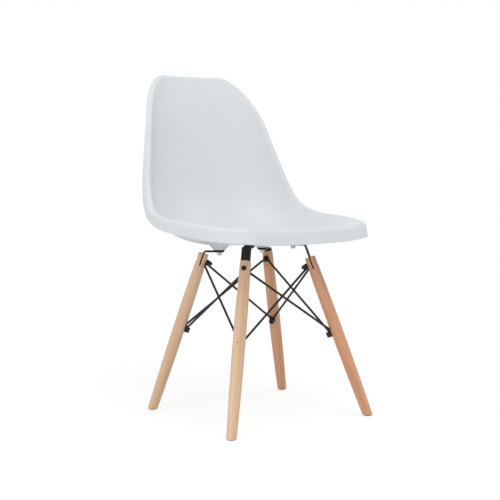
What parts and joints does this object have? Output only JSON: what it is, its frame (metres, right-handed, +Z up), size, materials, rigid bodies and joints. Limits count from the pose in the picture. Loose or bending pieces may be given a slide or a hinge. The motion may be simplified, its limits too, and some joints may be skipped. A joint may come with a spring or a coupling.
{
  "type": "moulded plastic shell chair",
  "caption": "Side chair with a one-piece moulded plastic bucket seat and back on turned wooden legs, held by bent steel brackets and cross-braced with thin black steel rods.",
  "frame": {"origin": "on the floor, below the middle of the shell's outline seen from above", "axes": "+Z up, the chair faces -Y, the sitter's right is -X"},
  "size_m": [0.4646, 0.516, 0.8144],
  "materials": {
    "shell_plastic": "fine satin moulded polypropylene, pale cool grey",
    "beech": "clear satin lacquer on turned beech",
    "black_steel": "satin black powder coat",
    "black_rod": "satin black powder coat",
    "spacer_plastic": "matt black",
    "glide_plastic": "matt dark plastic",
    "insert_brass": "machined",
    "zinc_steel": "zinc plated",
    "black_fastener": "black oxide"
  },
  "bodies": {
    "root": {"seat_shell": "shell_plastic", "leg_front_right": "beech", "leg_front_left": "beech", "leg_rear_left": "beech", "leg_rear_right": "beech", "bracket_front_right": "black_steel", "bracket_front_left": "black_steel", "bracket_rear_left": "black_steel", "bracket_rear_right": "black_steel", "spacer_front_right": "spacer_plastic", "spacer_front_left": "spacer_plastic", "spacer_rear_left": "spacer_plastic", "spacer_rear_right": "spacer_plastic", "foot_glide_front_right": "glide_plastic", "foot_glide_front_left": "glide_plastic", "foot_glide_rear_left": "glide_plastic", "foot_glide_rear_right": "glide_plastic", "brace_rod_front_right_to_front_left": "black_rod", "brace_rod_front_right_to_rear_right": "black_rod", "brace_rod_front_left_to_rear_left": "black_rod", "brace_rod_front_left_to_front_right": "black_rod", "brace_rod_rear_left_to_rear_right": "black_rod", "brace_rod_rear_left_to_front_left": "black_rod", "brace_rod_rear_right_to_front_right": "black_rod", "brace_rod_rear_right_to_rear_left": "black_rod", "boss_inserts": "insert_brass", "shell_bolts": "zinc_steel", "shell_bolt_washers": "zinc_steel", "upper_leg_bolts": "black_fastener", "cap_nuts": "black_fastener", "lower_leg_bolts": "black_fastener", "leg_inserts": "insert_brass"}
  },
  "joints": []
}
